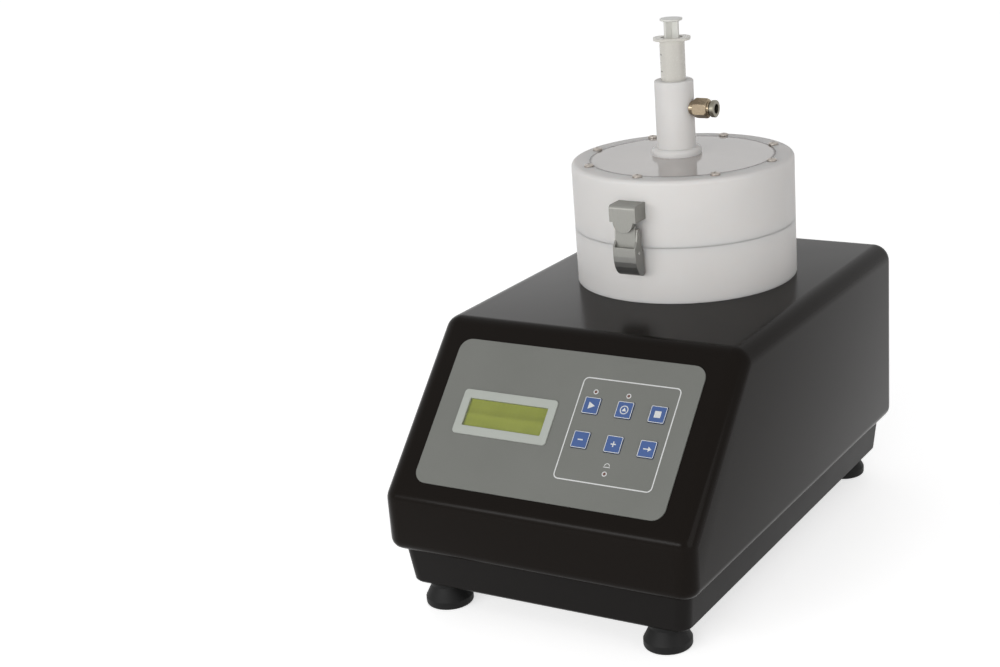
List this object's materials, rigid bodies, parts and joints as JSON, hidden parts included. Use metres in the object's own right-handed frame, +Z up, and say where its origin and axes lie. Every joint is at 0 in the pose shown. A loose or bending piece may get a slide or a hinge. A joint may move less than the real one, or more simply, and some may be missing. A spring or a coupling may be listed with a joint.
{
  "type": "spin coater",
  "caption": "Bench-top vacuum spin coater: slanted-panel housing on feet with a round latched chamber, syringe holder and gas fitting.",
  "frame": {"origin": "centre of the footprint on the bench, with the hose tail counted in", "axes": "+Z up, the control panel faces -Y, +X to the right of a person at the panel"},
  "size_m": [0.22, 0.364, 0.347],
  "materials": {
    "housing_plastic": "satin moulded, fine texture",
    "tray_plastic": "satin moulded",
    "foot_rubber": "matt",
    "overlay_film": "fine matt film",
    "bezel_film": "matt",
    "display_clear": "clear gloss",
    "display_green": "display",
    "board_green": "circuit board",
    "lamp_red": "translucent lamp",
    "key_blue": "printed film key",
    "white_plastic": "satin turned polymer",
    "disc_clear": "clear polished sheet",
    "syringe_clear": "translucent moulded",
    "steel": "bright",
    "latch_steel": "satin cast",
    "aluminium": "machined",
    "motor_metal": "painted",
    "copper": "enamelled winding",
    "rotor_steel": "laminated",
    "brass": "plated",
    "seal_rubber": "matt",
    "seal_silicone": "silicone",
    "hose_plastic": "translucent hose",
    "black_plastic": "moulded"
  },
  "bodies": {
    "housing": {"housing_cover": "housing_plastic", "base_tray": "tray_plastic", "rubber_feet": "foot_rubber", "foot_screws": "steel", "panel_overlay": "overlay_film", "display_bezel": "bezel_film", "display_window": "display_clear", "display_module": "display_green", "panel_board": "board_green", "indicator_lamps": "lamp_red", "motor_plate": "aluminium", "motor_housing": "motor_metal", "stator": "copper", "spindle_bearings": "steel", "rotary_union": "brass", "vacuum_hose": "hose_plastic", "solenoid_valve": "black_plastic", "vacuum_port": "brass", "power_supply": "aluminium", "control_board": "board_green", "power_inlet": "black_plastic", "fuse_holder": "black_plastic", "rocker_frame": "black_plastic", "pump_outlet": "black_plastic", "chamber_bowl": "white_plastic", "bowl_screws": "steel", "lid_seal": "seal_silicone", "cover_sensor": "black_plastic", "hinge_leaf_lower": "steel", "hinge_pin": "steel", "bowl_hardware_screws": "steel", "latch_base": "latch_steel", "latch_pin": "steel", "latch_spring": "steel"},
    "lid": {"lid_ring": "white_plastic", "lid_disc": "disc_clear", "lid_screws": "steel", "lid_magnet": "steel", "hinge_leaf_upper": "steel", "latch_keeper": "latch_steel", "lid_hardware_screws": "steel", "syringe_holder": "white_plastic", "gas_fitting": "brass"},
    "spindle": {"spindle_shaft": "steel", "rotor": "rotor_steel", "vacuum_chuck": "aluminium", "chuck_seal": "seal_rubber"},
    "latch": {"latch_lever": "latch_steel"},
    "collar": {"fitting_collar": "steel"},
    "syringe": {"syringe_barrel": "syringe_clear", "syringe_needle": "steel"},
    "plunger": {"syringe_plunger": "syringe_clear", "plunger_seal": "seal_rubber"},
    "rocker": {"power_rocker": "black_plastic"},
    "key_run": {"key_run": "key_blue"},
    "key_pump": {"key_pump": "key_blue"},
    "key_stop": {"key_stop": "key_blue"},
    "key_minus": {"key_minus": "key_blue"},
    "key_plus": {"key_plus": "key_blue"},
    "key_cursor": {"key_cursor": "key_blue"}
  },
  "joints": [
    {"name": "lid_hinge", "type": "hinge", "parent": "housing", "child": "lid", "pos_m": [0, 0.129, 0.21115], "axis": [-1, 0, 0], "range_deg": [0, 100]},
    {"name": "spindle_spin", "type": "hinge", "parent": "housing", "child": "spindle", "pos_m": [0, 0.048, 0.18], "axis": [0, 0, 1], "continuous": true},
    {"name": "latch_pull", "type": "hinge", "parent": "housing", "child": "latch", "pos_m": [0, -0.0366, 0.21], "axis": [-1, 0, 0], "range_deg": [0, 18], "stiffness_Nm_per_rad": 0.05, "springref_deg": -17.19},
    {"name": "collar_push", "type": "slide", "parent": "lid", "child": "collar", "axis": [-1, 0, 0], "range_m": [0, 0.001], "stiffness_N_per_m": 300, "springref_m": -0.001},
    {"name": "syringe_lift", "type": "slide", "parent": "lid", "child": "syringe", "axis": [0, 0, 1], "range_m": [0, 0.11]},
    {"name": "plunger_slide", "type": "slide", "parent": "syringe", "child": "plunger", "axis": [0, 0, 1], "range_m": [-0.0099, 0.045]},
    {"name": "rocker_tilt", "type": "hinge", "parent": "housing", "child": "rocker", "pos_m": [0.026, 0.161, 0.072], "axis": [1, 0, 0], "range_deg": [0, 16]},
    {"name": "key_run_press", "type": "slide", "parent": "housing", "child": "key_run", "axis": [0, 0.7206, -0.6933], "range_m": [0, 0.0005], "stiffness_N_per_m": 1000, "springref_m": -0.0004},
    {"name": "key_pump_press", "type": "slide", "parent": "housing", "child": "key_pump", "axis": [0, 0.7206, -0.6933], "range_m": [0, 0.0005], "stiffness_N_per_m": 1000, "springref_m": -0.0004},
    {"name": "key_stop_press", "type": "slide", "parent": "housing", "child": "key_stop", "axis": [0, 0.7206, -0.6933], "range_m": [0, 0.0005], "stiffness_N_per_m": 1000, "springref_m": -0.0004},
    {"name": "key_minus_press", "type": "slide", "parent": "housing", "child": "key_minus", "axis": [0, 0.7206, -0.6933], "range_m": [0, 0.0005], "stiffness_N_per_m": 1000, "springref_m": -0.0004},
    {"name": "key_plus_press", "type": "slide", "parent": "housing", "child": "key_plus", "axis": [0, 0.7206, -0.6933], "range_m": [0, 0.0005], "stiffness_N_per_m": 1000, "springref_m": -0.0004},
    {"name": "key_cursor_press", "type": "slide", "parent": "housing", "child": "key_cursor", "axis": [0, 0.7206, -0.6933], "range_m": [0, 0.0005], "stiffness_N_per_m": 1000, "springref_m": -0.0004}
  ]
}
